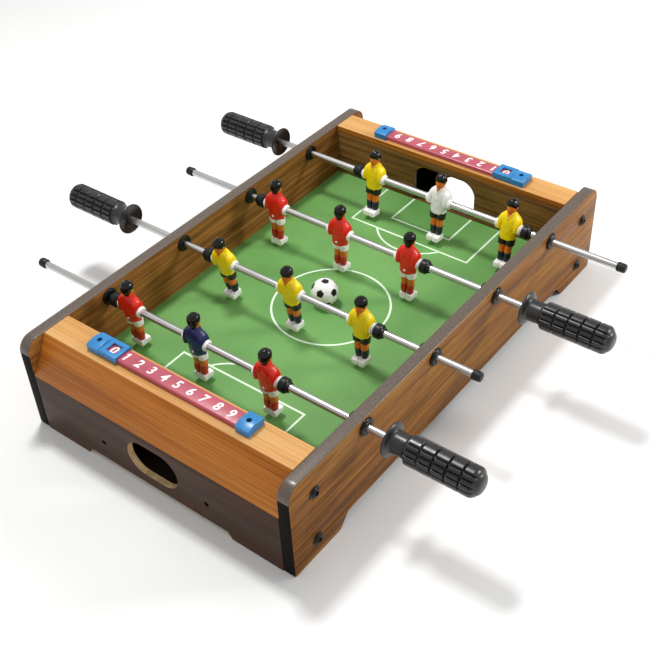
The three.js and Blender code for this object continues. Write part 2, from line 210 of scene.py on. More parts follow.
def chrome():
    """Plated tube: long polishing lines and a few dull patches."""
    s = Shader("chrome_plate", metallic=1.0)
    lines = s.noise(along("X", 6.0, 1500.0), detail=3)
    return s.surface(s.ramp(lines, [(0.35, (0.5, 0.5, 0.49)), (0.65, (0.74, 0.74, 0.73))]),
                     s.noise(along("X", 30.0, 400.0), detail=3), (0.26, 0.38), lines, 0.00002, 0.4)


def field_print():
    """Printed green sheet: matte, with a faint mottle and paper tooth."""
    s = Shader("field_print")
    mottle = s.noise(14, detail=3, rough=0.5)
    tooth = s.noise(1400, detail=2)
    green = s.ramp(mottle, [(0.3, "5e964a"), (0.5, "689e50"), (0.7, "72a75a")])
    colour = s.mix(s.math("MULTIPLY", tooth, 0.16), green, "3f7a33")
    return s.surface(colour, mottle, (0.5, 0.66), tooth, 0.00003)


def hood_print():
    """The hood's laminate with painted light and shade: streaked tan on the rail top, where most
    light falls, orange on the slope and a painted shade of dark brown under its fold.
    """
    s = Shader("hood_print", specular=0.2)
    broad = s.noise(along("X", 3.0, 60.0), detail=3, distortion=0.4)
    fine = s.noise(along("X", 7.0, 620.0), detail=5, rough=0.7, move=(2, 4, 1))
    both = s.math("MULTIPLY_ADD", fine, 0.66, s.math("MULTIPLY", broad, 0.42))
    # lit and shaded copies of one laminate: painted light on the rail top, painted half shade on the
    # slope, painted shade on the end board
    tan = s.ramp(both, [(0.38, "b07a3c"), (0.54, "cf9a5a"), (0.7, "e0b277")])
    slope_half_shade_orange = s.ramp(both, [(0.38, "8a4a12"), (0.54, "b3691f"), (0.7, "c98238")])
    painted_shade_brown = s.ramp(both, [(0.38, "26170f"), (0.54, "402819"), (0.7, "5c3a23")])
    # the copy is chosen by height, so the painted shade follows the fold rather than the light
    height = s.node("ShaderNodeSeparateXYZ", [("Vector", s.coords)]).outputs["Z"]
    sloped = s.math("LESS_THAN", height, (PANEL_TOP - 0.4) * MM)
    low = s.math("LESS_THAN", height, SLOPE_FOOT * MM)
    colour = s.mix(low, s.mix(sloped, tan, slope_half_shade_orange), painted_shade_brown)
    return s.surface(colour, fine, (0.34, 0.5), fine, 0.0001)


def edge_band(name, low, high, specular, rough, coat=0.0):
    """The panels' edge strip: a plastic band with lengthwise brushing."""
    s = Shader(name, specular=specular, coat=coat)
    speckle = s.noise(along("Y", 500.0, 1400.0), detail=3)
    colour = s.ramp(speckle, [(0.35, low), (0.65, high)])
    return s.surface(colour, speckle, rough, speckle, 0.00004)


PANEL_WOOD = wood("panel_print", "Y", "472a0c", "7a4a18", "a06c2c", veins=0.4)
WALL_WOOD = wood("wall_print", "X", "4a321b", "825a33", "aa7e48", veins=0.35)
INNER_WOOD = wood("inner_print", "Y", "472e14", "7e5226", "aa7239", veins=0.35)
# a near-black copy of the wood for the faces deep in the hood's pocket, the goal wall's back and the
# end screw holes: painted shade
HOLLOW_SHADE = wood("hollow_painted_shade", "X", "0c0806", "17100b", "22180f", rough=(0.7, 0.9))
HOOD_PRINT_WITH_SHADE = hood_print()
MDF = wood("raw_board", "X", "a8875c", "c9aa7c", "dcc296", figure=(30, 60), streak=(200, 400))
EDGE = edge_band("edge_band", "0b0907", "140f0c", specular=0.05, rough=(0.5, 0.66))
# the same dark edge band painted lighter where it faces up: a painted sheen, not wear
EDGE_TOP_SHEEN = edge_band("edge_top_painted_sheen", "53483f", "695c51", specular=0.4, rough=(0.26, 0.42), coat=0.15)
FIELD = field_print()
LINE = plastic("line_print", "e4fbdf", tone=0.03, rough=(0.5, 0.65), grain=1500)
CHROME = chrome()
GRIP = plastic("grip_plastic", "1c1c1c", rough=(0.28, 0.38), grain=1600, specular=0.6)
CAP = plastic("cap_rubber", "1e1e1f", rough=(0.36, 0.5), grain=1200, depth=0.00008, specular=0.3)
BUMPER = plastic("bumper_rubber", "161617", rough=(0.3, 0.45), grain=1200, depth=0.00008,
                 specular=0.3)
BUSHING = plastic("bushing_plastic", "0e0e0f", specular=0.25)
STEEL = plastic("black_steel", "100e0d", tone=0.25, rough=(0.25, 0.42), grain=700, depth=0.00005,
                specular=0.3)
STRIP = plastic("strip_plastic", "b2505f", tone=0.08, rough=(0.3, 0.44))
BLUE = plastic("counter_plastic", "2a80bd", tone=0.1, rough=(0.26, 0.4))
WHITE_PRINT = plastic("white_print", "f4f2f0", tone=0.03, rough=(0.4, 0.5))
BALL_WHITE = plastic("ball_skin", "fbfbfa", tone=0.04, rough=(0.16, 0.26), grain=500, depth=0.00005)
BALL_BLACK = plastic("ball_spots", "18181a", rough=(0.16, 0.28), grain=500, depth=0.00005)
SKIN = plastic("figure_skin", "dd741c", tone=0.1, rough=(0.3, 0.42))
HAIR = plastic("figure_hair", "080708", rough=(0.08, 0.16), specular=0.4)
FIGURE_WHITE = plastic("figure_white", "f7f6f3", tone=0.04, rough=(0.26, 0.38))
FIGURE_BLACK = plastic("figure_black", "17171b")
FIGURE_NAVY = plastic("figure_navy", "131a2c")
RED_JERSEY = plastic("red_jersey", "e02410", tone=0.1)
RED_SOCK = plastic("red_sock", "c2260f", tone=0.15, rough=(0.26, 0.4))
YELLOW_JERSEY = plastic("yellow_jersey", "ffdf00", tone=0.04)
NAVY_JERSEY = plastic("navy_jersey", "1c2a5e")


# ---- mesh building ----
def arc(cx, cy, radius, start, end, steps):
    """Points of an arc, in degrees, both ends included."""
    angles = [math.radians(start + (end - start) * k / steps) for k in range(steps + 1)]
    return [(cx + radius * math.cos(a), cy + radius * math.sin(a)) for a in angles]


def circle(cx, cy, radius, steps=40):
    return arc(cx, cy, radius, 0, 360, steps)[:-1]


def smooth_step(a, b, x):
    t = min(1.0, max(0.0, (x - a) / (b - a)))
    return t * t * (3 - 2 * t)


def skin(bm, rings, closed=True):
    """Quads between each ring of vertices and the next, or between rows that don't close."""
    for a, b in zip(rings, rings[1:]):
        for i in range(len(a) if closed else len(a) - 1):
            j = (i + 1) % len(a)
            bm.faces.new((a[i], a[j], b[j], b[i]))


def fan(bm, ring, tip):
    for here, after in zip(ring, ring[1:] + ring[:1]):
        bm.faces.new((here, after, tip))


def outward(bm):
    bmesh.ops.recalc_face_normals(bm, faces=bm.faces)
    return bm


def pushed_in(loop, distance):
    """The loop moved to its left by a distance, with mitred corners."""
    out = []
    for before, here, after in zip(loop[-1:] + loop[:-1], loop, loop[1:] + loop[:1]):
        d0 = Vector((here[0] - before[0], here[1] - before[1])).normalized()
        d1 = Vector((after[0] - here[0], after[1] - here[1])).normalized()
        n0 = Vector((-d0.y, d0.x))
        n1 = Vector((-d1.y, d1.x))
        shift = (n0 + n1) / max(0.35, 1 + n0.dot(n1)) * distance
        out.append((here[0] + shift.x, here[1] + shift.y))
    return out


def wound(loop, way):
    """The loop, turning left where way is 1 and right where it is -1."""
    area = sum(a[0] * b[1] - b[0] * a[1] for a, b in zip(loop, loop[1:] + loop[:1]))
    return loop if area * way > 0 else loop[::-1]


def prism(outline, holes=(), thick=10.0, edge=0.5, steps=3):
    """A flat board from an outline and holes, standing on both sides of z = 0, with rounded edges."""
    bm = bmesh.new()
    loops = [wound(outline, 1)] + [wound(hole, -1) for hole in holes]
    bends = [math.radians(90 * k / steps) for k in range(steps + 1)]
    levels = [(edge * (1 - math.cos(a)), thick / 2 - edge * (1 - math.sin(a))) for a in bends]
    levels = [(d, -z) for d, z in reversed(levels)] + levels
    caps = {0: [], len(levels) - 1: []}
    for loop in loops:
        rings = []
        for distance, z in levels:
            rings.append([bm.verts.new((x, y, z)) for x, y in pushed_in(loop, distance)])
        skin(bm, rings)
        for level in caps:
            caps[level].append(rings[level])
    for level, rings in caps.items():
        flat = [v for ring in rings for v in ring]
        for tri in tessellate_polygon([[v.co for v in ring] for ring in rings]):
            corners = [flat[i] for i in tri]
            normal = (corners[1].co - corners[0].co).cross(corners[2].co - corners[0].co)
            if (normal.z > 0) != (level > 0):
                corners.reverse()
            bm.faces.new(corners)
    return bm


def filleted(points, steps=5):
    """A profile from (x, r) or (x, r, fillet) points, each fillet drawn as an arc."""
    out = []
    for i, point in enumerate(points):
        here = Vector(point[:2])
        fillet = point[2] if len(point) > 2 else 0
        if not fillet or i in (0, len(points) - 1):
            out.append(tuple(here))
            continue
        to_last = Vector(points[i - 1][:2]) - here
        to_next = Vector(points[i + 1][:2]) - here
        u, v = to_last.normalized(), to_next.normalized()
        half = u.angle(v) / 2
        reach = min(fillet / math.tan(half), to_last.length * 0.49, to_next.length * 0.49)
        radius = reach * math.tan(half)
        centre = here + (u + v).normalized() * (radius / math.sin(half))
        start = here + u * reach - centre
        end = here + v * reach - centre
        for k in range(steps + 1):
            out.append(tuple(centre + start.lerp(end, k / steps).normalized() * radius))
    return out


def turned(points, segments=48, shape=None):
    """A surface turned about X from an outward profile. shape(k, x, r, angle) may bend a ring."""
    bm = bmesh.new()
    rings = []
    for k, (x, r) in enumerate(points):
        if r < 1e-6:
            rings.append([bm.verts.new((x, 0, 0))])
            continue
        ring = []
        for i in range(segments):
            angle = 2 * math.pi * i / segments
            radius = shape(k, x, r, angle) if shape else r
            ring.append(bm.verts.new((x, radius * math.cos(angle), radius * math.sin(angle))))
        rings.append(ring)
    if len(rings[0]) > 1 and len(rings[-1]) > 1:
        rings.append(rings[0])
    for a, b in zip(rings, rings[1:]):
        if len(a) == 1:
            fan(bm, b, a[0])
        elif len(b) == 1:
            fan(bm, a, b[0])
        else:
            skin(bm, [a, b])
    return outward(bm)


def between(rows, t):
    """Catmull-Rom value of a table of rows at t, where rows are at t = 0, 1, 2 and so on."""
    i = min(int(t), len(rows) - 2)
    f = t - i
    p0, p1, p2, p3 = (rows[min(max(i + d, 0), len(rows) - 1)] for d in (-1, 0, 1, 2))
    return [
        0.5 * (2 * b + (c - a) * f + (2 * a - 5 * b + 4 * c - d) * f * f
               + (3 * b - a - 3 * c + d) * f ** 3)
        for a, b, c, d in zip(p0, p1, p2, p3)]


def full(rows):
    """The rows (z, half x, half y, centre x, centre y), with centres that were left out at 0."""
    return [tuple(row) + (0.0,) * (5 - len(row)) for row in rows]


def loft(rows, around=28, per_row=3, power=2.4, relief=None):
    """A closed body through rows, see full(), with its ends drawn to a point."""
    bm = bmesh.new()
    count = (len(rows) - 1) * per_row
    levels = [between(full(rows), k / per_row) for k in range(count + 1)]
    rings = []
    for z, hx, hy, cx, cy in levels:
        ring = []
        for i in range(around):
            a = 2 * math.pi * i / around
            px, py = (math.copysign(abs(c) ** (2 / power), c) for c in (math.cos(a), math.sin(a)))
            grow = 1 + (relief(a, z) if relief else 0)
            ring.append(bm.verts.new((cx + hx * px * grow, cy + hy * py * grow, z)))
        rings.append(ring)
    skin(bm, rings)
    for ring, (z, _, _, cx, cy) in ((rings[0], levels[0]), (rings[-1], levels[-1])):
        fan(bm, ring, bm.verts.new((cx, cy, z)))
    return outward(bm)


def painted(bm, index):
    for face in bm.faces:
        face.material_index = index
    return bm


def moved(bm, x=0.0, y=0.0, z=0.0, turn=None):
    if turn is not None:
        bm.transform(turn.to_4x4())
    bm.transform(Matrix.Translation((x, y, z)))
    bm.normal_update()
    return bm


def raw_mesh(name, bm, materials=()):
    """The bmesh as a mesh, and freed."""
    mesh = bpy.data.meshes.new(name)
    bm.to_mesh(mesh)
    bm.free()
    for material in materials:
        mesh.materials.append(material)
    return mesh


def joined(*parts):
    """Several bmeshes as one, each keeping its material indices."""
    whole = bmesh.new()
    for part in parts:
        scratch = raw_mesh("scratch", part)
        whole.from_mesh(scratch)
        bpy.data.meshes.remove(scratch)
    return whole


def as_mesh(name, bm, materials, angle=35):
    """The bmesh, in millimetres, as a mesh in metres, smooth but for edges sharper than angle."""
    bm.transform(Matrix.Scale(MM, 4))
    mesh = raw_mesh(name, bm, materials)
    mesh.polygons.foreach_set("use_smooth", [True] * len(mesh.polygons))
    mesh.set_sharp_from_angle(angle=math.radians(angle))
    return mesh


# ---- placing ----
# axes for prisms: which table axes the outline's x, y and the thickness run along
ALONG_X = Matrix(((0, 0, 1), (1, 0, 0), (0, 1, 0)))
ALONG_Y = Matrix(((1, 0, 0), (0, 0, -1), (0, 1, 0)))


def turn_z(degrees):
    return Matrix.Rotation(math.radians(degrees), 4, "Z")


def shifted(x=0.0, y=0.0, z=0.0):
    """A move in millimetres, as a matrix in metres."""
    return Matrix.Translation(Vector((x, y, z)) * MM)


def place(x=0.0, y=0.0, z=0.0, degrees=0):
    """A place in the table's own frame, turned about the upright there, as a matrix."""
    return Matrix.Translation((TABLE_X + x * MM, y * MM, z * MM)) @ turn_z(degrees)


def piece(name, mesh, body, replaced=(), matrix=None):
    """One visible piece on its body. matrix places it in the row frame, in metres."""
    made = linked(name, mesh)
    made.matrix_world = matrix or place()
    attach(made, body)
    if replaced:
        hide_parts(*replaced)
    return made


# ---- cutting ----
def finished(made):
    """An object's shape after its modifiers, as a bmesh."""
    bpy.context.view_layer.update()
    evaluated = made.evaluated_get(bpy.context.evaluated_depsgraph_get())
    bm = bmesh.new()
    bm.from_mesh(evaluated.to_mesh())
    evaluated.to_mesh_clear()
    return bm


def cut_by(bm, cutters, materials):
    """The bmesh with cutter bmeshes taken out of it. Cutters' faces keep their material index."""
    scratch = [linked("scratch", raw_mesh("scratch", part, materials)) for part in (bm, *cutters)]
    for other in scratch[1:]:
        modifier = scratch[0].modifiers.new("cut", "BOOLEAN")
        modifier.operation = "DIFFERENCE"
        modifier.solver = "EXACT"
        modifier.object = other
    result = finished(scratch[0])
    for made in scratch:
        mesh = made.data
        bpy.data.objects.remove(made)
        bpy.data.meshes.remove(mesh)
    bmesh.ops.remove_doubles(result, verts=result.verts, dist=1e-4)
    bmesh.ops.dissolve_degenerate(result, edges=result.edges, dist=1e-5)
    return result


def rectangle(x0, x1, y0, y1):
    return [(x0, y0), (x1, y0), (x1, y1), (x0, y1)]


def punch(outline, thick, index=0, **where):
    """A sharp-edged prism to cut with, which leaves faces of one material."""
    return painted(moved(prism(outline, thick=thick, edge=0.01, steps=1), **where), index)


# ---- side panels ----
SIDES = {"right": 0, "left": 180}      # each side's turn about the upright from the right one
PANEL_CORNER = 14
FOOT_LENGTH = 60
FOOT_CURVE = 15
FOOT_ROUND = 2
ARCH_HEIGHT = 13.5
BOLT_Y = 224
BOLT_HEIGHTS = {"lower": 20, "upper": 77}
BOLT_HOLE = 1.9
BUSHING_HOLE = 6.3
GROOVE = 3.3
FIELD_THICK = 3


def rod_y(number):
    low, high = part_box(f"rod_{number}")
    return (low.y + high.y) / 2 / MM


def foot_curve(y_foot, y_arch, steps=14):
    """The eased line from the foot's inner corner up to the arch."""
    shares = [k / steps for k in range(steps + 1)]
    return [(y_foot + (y_arch - y_foot) * t, ARCH_HEIGHT * smooth_step(0, 1, t)) for t in shares]


def side_panel_mesh():
    end, corner = HALF_LENGTH, PANEL_CORNER
    inner_foot = end - FOOT_LENGTH
    arch = inner_foot - FOOT_CURVE
    outline = foot_curve(-inner_foot, -arch) + foot_curve(inner_foot, arch)[::-1]
    outline += arc(end - FOOT_ROUND, FOOT_ROUND, FOOT_ROUND, -90, 0, 4)
    outline += arc(end - corner, PANEL_TOP - corner, corner, 0, 90, 16)
    outline += arc(corner - end, PANEL_TOP - corner, corner, 90, 180, 16)
    outline += arc(FOOT_ROUND - end, FOOT_ROUND, FOOT_ROUND, 180, 270, 4)[:-1]
    holes = [circle(rod_y(n), ROD_Z, BUSHING_HOLE) for n in RODS]
    holes += [circle(s * BOLT_Y, z, BOLT_HOLE, 20) for s in (-1, 1) for z in BOLT_HEIGHTS.values()]
    bm = moved(prism(outline, holes, PANEL_THICK, edge=0.9), turn=ALONG_X, x=INNER + PANEL_THICK / 2)
    for face in bm.faces:
        x = face.normal.x
        # edge faces on the top take the lighter band, a painted sheen
        on_top = face.calc_center_median().z > PANEL_TOP - corner
        face.material_index = 0 if x > 0.9 else 2 if x < -0.9 else 3 if on_top else 1
    low, high = FIELD_TOP - FIELD_THICK - GAP, FIELD_TOP + GAP
    groove = punch(rectangle(INNER - 1, INNER + GROOVE, -WALL_FACE, WALL_FACE), high - low, 2,
                   z=(low + high) / 2)
    materials = [PANEL_WOOD, EDGE, INNER_WOOD, EDGE_TOP_SHEEN]
    return as_mesh("side_panel", cut_by(bm, [groove], materials), materials, angle=30)


panel_mesh = side_panel_mesh()
for side, degrees in SIDES.items():
    piece(f"{side}_panel", panel_mesh, "table", [f"{side}_side_panel"],
          place(degrees=degrees))

# ---- end hoods, goal walls and glued blocks ----
RAIL_EDGE = 233
TRAY_TOP = 14.8
TRAY_THICK = 3
NOTCH = {"half": 88, "rise": 7, "run": 5}
RETURN_HOLE = {"half": 30, "radius": 19, "height": 37}
GOAL = {"half": 39, "top": 88, "corner": 17}
BLOCK_THICK = 15
END_SCREW = {"x": 62, "z": 28, "hole": 2.6, "sink": 2.2}
END_SCREW_SEAT = 1.6


def stadium(half, radius, height):
    straight = half - radius
    return arc(straight, height, radius, -90, 90, 20) + arc(-straight, height, radius, 90, 270, 20)


def hood_sections():
    """The folded board's outline in the Y-Z plane, and the glued block's inside it."""
    end = HALF_LENGTH
    inside = end - BOARD
    slope = math.atan2(end - RAIL_EDGE, PANEL_TOP - SLOPE_FOOT)
    inner_foot = SLOPE_FOOT - BOARD * math.tan(slope / 2)
    inner_rail = RAIL_EDGE - BOARD * math.tan((math.pi / 2 - slope) / 2)
    under = PANEL_TOP - BOARD
    tray_under = TRAY_TOP - TRAY_THICK
    board = [
        (WALL_FACE, PANEL_TOP), (WALL_FACE, under), (inner_rail, under), (inside, inner_foot),
        (inside, TRAY_TOP), (WALL_FACE, TRAY_TOP), (WALL_FACE, tray_under),
        (inside, tray_under), (inside, 0), (end, 0), (end, SLOPE_FOOT), (RAIL_EDGE, PANEL_TOP)]
    face = WALL_FACE + BOARD + GAP
    block = [
        (face, TRAY_TOP + 0.05), (inside - 0.05, TRAY_TOP + 0.05), (inside - 0.05, inner_foot),
        (inner_rail, under - 0.05), (face, under - 0.05)]
    return board, block


def hood_mesh():
    board, block = hood_sections()
    half = INNER - GAP
    bm = moved(prism(board, thick=2 * half, edge=0.45), turn=ALONG_X)
    inside = HALF_LENGTH - BOARD
    through = {"thick": BOARD + 4, "turn": ALONG_Y, "y": inside + BOARD / 2}
    wide, rise, run = NOTCH.values()
    notch = [(-wide - 0.6, -1), (wide + 0.6, -1), (wide - run, rise), (run - wide, rise)]
    cutters = [punch(stadium(**RETURN_HOLE), index=1, **through), punch(notch, index=1, **through)]
    # the screw holes' walls take the near-black board: painted shade in the recesses
    for x in (-END_SCREW["x"], END_SCREW["x"]):
        cutters.append(punch(circle(x, END_SCREW["z"], END_SCREW["hole"], 24), 2 * END_SCREW["sink"],
                             2, turn=ALONG_Y, y=HALF_LENGTH))
    # faces inside the hood's pocket take the near-black board: painted shade
    for face in bm.faces:
        y, z = face.calc_center_median().yz
        under_board = WALL_FACE + 0.3 < y < inside + 0.3 and z < PANEL_TOP - 1
        if under_board and (face.normal.y < -0.05 or abs(face.normal.z) > 0.9):
            face.material_index = 2
    materials = [HOOD_PRINT_WITH_SHADE, MDF, HOLLOW_SHADE]
    parts = [cut_by(bm, cutters, materials)]
    for side in (-1, 1):
        glued = prism(block, thick=BLOCK_THICK, edge=0.3)
        # the glued blocks inside the pocket take the near-black board too: painted shade
        parts.append(painted(moved(glued, turn=ALONG_X, x=side * (half - BLOCK_THICK / 2)), 2))
    return as_mesh("end_hood", joined(*parts), materials, angle=30)


def goal_wall_mesh():
    half = INNER - GAP
    wide, top, corner = GOAL.values()
    mouth = [(-wide, FIELD_TOP), (wide, FIELD_TOP)]
    mouth += arc(wide - corner, top - corner, corner, 0, 90, 14)
    mouth += arc(corner - wide, top - corner, corner, 90, 180, 14)
    wall = prism(rectangle(-half, half, TRAY_TOP + GAP, PANEL_TOP - BOARD - GAP), [mouth], BOARD,
                 edge=0.4)
    bm = moved(wall, turn=ALONG_Y, y=WALL_FACE + BOARD / 2)
    # the wall's back, facing into the pocket, takes the near-black board: painted shade
    for face in bm.faces:
        face.material_index = 1 if face.normal.y > 0.9 else 0
    return as_mesh("goal_wall", bm, [WALL_WOOD, HOLLOW_SHADE], angle=30)


def screw_head_mesh(name, radius, rise):
    """A small countersunk head with a cross recess, its face towards +X."""
    profile = filleted([(-2, 0), (-2, radius * 0.5), (0, radius, 0.15), (rise, radius * 0.9, 0.4),
                        (rise, 0)])
    slots = []
    for wide, tall in ((0.28, 0.9), (0.9, 0.28)):
        y, z = radius * wide / 1.3, radius * tall / 1.3
        slots.append(punch(rectangle(rise - 0.55, rise + 1, -y, y), 2 * z))
    return as_mesh(name, cut_by(turned(profile, 28), slots, [STEEL]), [STEEL], angle=30)


hood = hood_mesh()
goal_wall = goal_wall_mesh()
end_screw = screw_head_mesh("end_screw", 2.3, 0.5)
for end, degrees in (("far", 0), ("near", 180)):
    spin = place(degrees=degrees)
    piece(f"{end}_hood", hood, "table", [f"{end}_end_hood"], spin)
    piece(f"{end}_wall", goal_wall, "table", [f"{end}_goal_wall"], spin)
    for number, x in enumerate((-END_SCREW["x"], END_SCREW["x"]), 1):
        seat = shifted(x, HALF_LENGTH - END_SCREW_SEAT, END_SCREW["z"])
        piece(f"{end}_board_screw_{number}", end_screw, "table",
              matrix=spin @ seat @ turn_z(90))

# ---- playfield and its printed lines ----
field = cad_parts["playfield"]
field.data.materials.clear()
field.data.materials.append(FIELD)

LINE_WIDTH = 2.1
LINE_RISE = 0.08
CIRCLE_R = 59.7
PENALTY = {"x": 73.5, "y": 135.5, "near_shift": 0}
GOAL_AREA = {"x": 37, "y": 159.5, "near_shift": 5}
ARC_CENTRE = 164
ARC_R = 49


def band(points, closed=False):
    """A flat line of LINE_WIDTH along points on the field, as a closed thin body."""
    points = [Vector(p) for p in points]
    steps = [(b - a).normalized() for a, b in zip(points, points[1:] + points[:1])]
    if not closed:
        steps[-1] = steps[-2]
    left, right = [], []
    for i, here in enumerate(points):
        d0, d1 = steps[i - 1 if i or closed else 0], steps[i]
        n0, n1 = Vector((-d0.y, d0.x)), Vector((-d1.y, d1.x))
        shift = (n0 + n1) / (1 + n0.dot(n1)) * LINE_WIDTH / 2
        left.append(here + shift)
        right.append(here - shift)
    bm = bmesh.new()
    low, high = FIELD_TOP + 0.01, FIELD_TOP + LINE_RISE
    rows = [[bm.verts.new((p.x, p.y, z)) for p in side]
            for side, z in ((right, low), (right, high), (left, high), (left, low))]
    skin(bm, rows + rows[:1], closed)
    if not closed:
        for at in (0, -1):
            bm.faces.new([row[at] for row in rows])
    return outward(bm)


def field_lines_mesh():
    wall = WALL_FACE - 0.5
    reach = math.degrees(math.asin((ARC_CENTRE - PENALTY["y"]) / ARC_R))
    bodies = [band(circle(0, 0, CIRCLE_R, 96), closed=True)]
    for end in (1, -1):
        lines = []
        for shape in (PENALTY, GOAL_AREA):
            x, y = shape["x"], shape["y"] + (shape["near_shift"] if end < 0 else 0)
            lines.append([(x, wall), (x, y), (-x, y), (-x, wall)])
        lines.append(arc(0, ARC_CENTRE, ARC_R, -reach - 1, reach - 179, 40))
        bodies += [band([(end * px, end * py) for px, py in points]) for points in lines]
    return as_mesh("field_lines", joined(*bodies), [LINE])


piece("field_lines", field_lines_mesh(), "table")

# ---- side bolts and bushings ----
BOLT_SHANK = 1.6
BOLT_HEAD = {"radius": 4.8, "rise": 2.6, "socket": 2.1, "deep": 1.7}
BOLT_REACH = 24
BUSHING_SIZE = {"bore": 3.85, "barrel": 5.8, "flange": 8.6, "thick": 2.5}


def bolt_mesh():
    """Round head on a washer, with a six-sided socket, standing on the panel's outer face."""
    head, rise, socket, deep = BOLT_HEAD.values()
    face = HALF_WIDTH + GAP
    start, top, washer = face - BOLT_REACH, face + rise, head + 1.3
    outer = filleted([
        (start, 0), (start, BOLT_SHANK - 0.4), (start + 1, BOLT_SHANK), (face, BOLT_SHANK),
        (face, washer, 0.2), (face + 0.6, washer, 0.3), (face + 0.6, head - 0.1),
        (top, head * 0.72, 1.6), (top, socket + 0.35)])
    inner = [(top - 0.25, socket), (top - deep, socket), (top - deep - 0.6, 0)]

    def six_sided(k, x, r, angle):
        sixth = math.pi / 3
        return r if k < len(outer) else r / math.cos(angle % sixth - sixth / 2)

    return as_mesh("side_bolt", turned(outer + inner, 48, six_sided), [STEEL], angle=32)


def bushing_mesh():
    bore, barrel, flange, thick = BUSHING_SIZE.values()
    inside, outside = INNER - GAP, HALF_WIDTH + GAP
    rim = [(thick, bore + 0.6), (thick, flange - 1.2, 1.0), (0.9, flange, 0.6), (0, flange, 0.2),
           (0, barrel)]
    profile = [(inside - x, *r) for x, *r in rim] + [(outside + x, *r) for x, *r in rim[::-1]]
    profile += [(outside + thick - 0.6, bore), (inside - thick + 0.6, bore)]
    return as_mesh("bushing", turned(filleted(profile), 48), [BUSHING], angle=32)


bolt = bolt_mesh()
bushing = bushing_mesh()
for side, degrees in SIDES.items():
    for end, end_sign in (("near", -1), ("far", 1)):
        for level, z in BOLT_HEIGHTS.items():
            node = f"{side}_{end}_{level}_bolt"
            piece(f"{node}_head", bolt, "table", [node],
                  place(0, end_sign * BOLT_Y, z, degrees))
    for n in RODS:
        piece(f"{side}_bushing_{n}", bushing, "table", [f"bushing_{n}_{side}"],
              place(0, rod_y(n), ROD_Z, degrees))

# ---- rods, handles, caps and bumpers ----
HANDLE = {"mouth": 212.5, "grip": 231.5, "shoulder": 292, "tip": 299.5, "flange": 16.2,
          "neck": 10.0, "radius": 13.4}
HANDLE_BORE = 3.9
GRIP_ROWS = 5
GRIP_DEEP = 2.3
GRIP_TURN = 120          # degrees after which the lanes round the grip repeat: a pad and three ridges
GRIP_LANES = [0, 51, 74, 97, 120]
GRIP_FIRST = 62          # where the first pad starts
GRIP_RINGS, DOME_RINGS = 130, 16
CAP_END = {"start": 200.5, "end": 209.5, "radius": 4.8}
BUMPER_SIZE = {"inner": 98.5, "step": 106, "outer": 108.5, "radius": 7.2, "collar": 5.0}


def grip_relief(x, angle):
    """How far the moulded blocks stand over the grip's core at a place on it."""
    start, end = HANDLE["grip"], HANDLE["shoulder"] + 4
    if not start <= x <= end:
        return 0.0
    u = (x - start) / (end - start) * GRIP_ROWS % 1
    lane = (math.degrees(angle) - GRIP_FIRST) % GRIP_TURN
    low, high = next((a, b) for a, b in zip(GRIP_LANES, GRIP_LANES[1:]) if a <= lane <= b)
    across_x = smooth_step(0.01, 0.08, u) * smooth_step(0.99, 0.92, u)
    across_lane = smooth_step(0.6, 5, lane - low) * smooth_step(0.6, 5, high - lane)
    crown = 0.3 * (math.sin(math.pi * (lane - low) / (high - low)) - 1)
    return (GRIP_DEEP + crown) * across_x * across_lane


def handle_mesh():
    mouth, grip, shoulder, tip, flange, neck, radius = HANDLE.values()
    core = radius - GRIP_DEEP
    profile = [(mouth + 20, 0), (mouth + 20, HANDLE_BORE)] + filleted([
        (mouth + 4.5, HANDLE_BORE), (mouth + 3.5, 8.0, 2.0), (mouth + 0.9, flange - 1.3, 0.6),
        (mouth, flange - 0.5, 0.4), (mouth + 1.4, flange, 0.6), (mouth + 2.6, flange - 1.2, 0.8),
        (mouth + 4.4, neck + 0.4, 2.6), (grip - 2.5, neck, 1.0), (grip - 0.8, core, 0.6)], steps=6)
    profile += [(grip + (shoulder - grip) * k / GRIP_RINGS, core) for k in range(GRIP_RINGS + 1)]
    for k in range(1, DOME_RINGS):
        a = math.radians(90 * k / DOME_RINGS)
        profile.append((shoulder + (tip - shoulder) * math.sin(a), core * math.cos(a) ** 0.62))
    profile.append((tip, 0))

    def blocks(k, x, r, angle):
        return r + grip_relief(x, angle) * smooth_step(tip - 1.2, shoulder - 1, x)

    return as_mesh("handle", turned(profile, 192, blocks), [GRIP], angle=50)


def cap_mesh():
    start, end, radius = CAP_END.values()
    bore, floor = ROD_R + 0.25, end - 2.2
    profile = filleted([
        (start, bore), (start, radius - 0.5, 0.4), (start + 1.4, radius, 0.4),
        (start + 3.0, radius, 0.3), (start + 3.5, radius - 0.4, 0.3),
        (start + 4.2, radius - 0.1, 0.3), (end, radius - 0.3, 1.8), (end, 0)])
    return as_mesh("end_cap", turned([(floor, 0), (floor, bore)] + profile, 40), [CAP], angle=40)


def bumper_mesh():
    inner, step, outer, radius, collar = BUMPER_SIZE.values()
    bore = ROD_R + 0.1
    profile = filleted([
        (inner, bore), (inner, radius - 0.9, 0.6), (inner + 1.0, radius, 0.7),
        (step - 1.4, radius, 1.0), (step, radius - 1.4, 0.6), (step, collar, 0.3),
        (outer, collar, 0.7), (outer, bore)])
    return as_mesh("bumper", turned(profile, 44), [BUMPER], angle=40)


